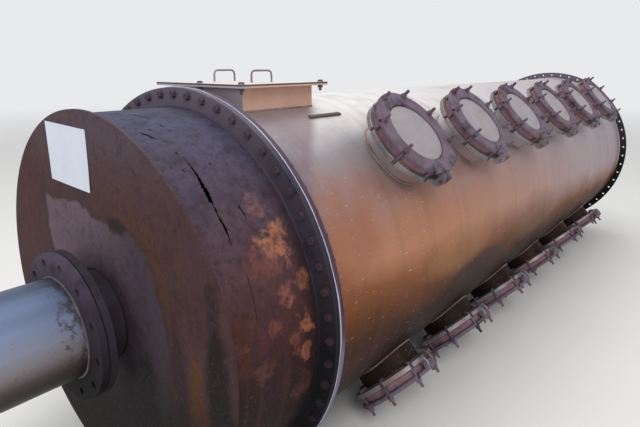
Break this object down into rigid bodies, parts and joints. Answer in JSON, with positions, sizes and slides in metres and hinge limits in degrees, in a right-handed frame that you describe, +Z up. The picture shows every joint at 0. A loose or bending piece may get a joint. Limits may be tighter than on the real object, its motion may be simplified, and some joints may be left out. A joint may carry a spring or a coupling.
{
  "type": "stainless steel tank",
  "caption": "Horizontal stainless steel process tank with clamped manholes in two rows, a bolted rusty end drum with a flanged nozzle, an open body flange and a bolted top hatch.",
  "frame": {"origin": "centre of the open body flange's face", "axes": "+X along the tank's axis out of the open mouth, +Z up, the manhole rows face -Y"},
  "size_m": [5.422, 1.5626, 1.6179],
  "materials": {
    "stainless_steel": "weathered stainless plate",
    "rusty_steel": "rusted carbon steel",
    "gasket_sheet": "dull sheet gasket",
    "label_sheet": "plain plastic sheet"
  },
  "bodies": {
    "root": {"shell_course_1": "stainless_steel", "shell_course_2": "stainless_steel", "shell_course_3": "stainless_steel", "shell_course_4": "stainless_steel", "shell_course_5": "stainless_steel", "shell_bar": "stainless_steel", "hatch_walls": "stainless_steel", "hatch_flange": "stainless_steel", "hatch_lid": "stainless_steel", "nozzle_flange": "stainless_steel", "pipe_flange": "stainless_steel", "pipe_stub": "stainless_steel", "shell_flange": "stainless_steel", "open_flange": "stainless_steel", "upper_necks": "stainless_steel", "upper_neck_flanges": "stainless_steel", "upper_lids": "stainless_steel", "lower_necks": "stainless_steel", "lower_neck_flanges": "stainless_steel", "lower_lids": "stainless_steel", "upper_hinge_ears": "stainless_steel", "lower_hinge_ears": "stainless_steel", "drum_shell": "rusty_steel", "drum_flange": "rusty_steel", "end_plate": "rusty_steel", "nozzle_neck": "rusty_steel", "hatch_handles": "rusty_steel", "upper_clamp_rings": "rusty_steel", "lower_clamp_rings": "rusty_steel", "upper_hook_bolts": "rusty_steel", "lower_hook_bolts": "rusty_steel", "upper_hinge_knuckles": "rusty_steel", "lower_hinge_knuckles": "rusty_steel", "body_gasket": "gasket_sheet", "nozzle_gasket": "gasket_sheet", "label": "label_sheet"}
  },
  "joints": []
}
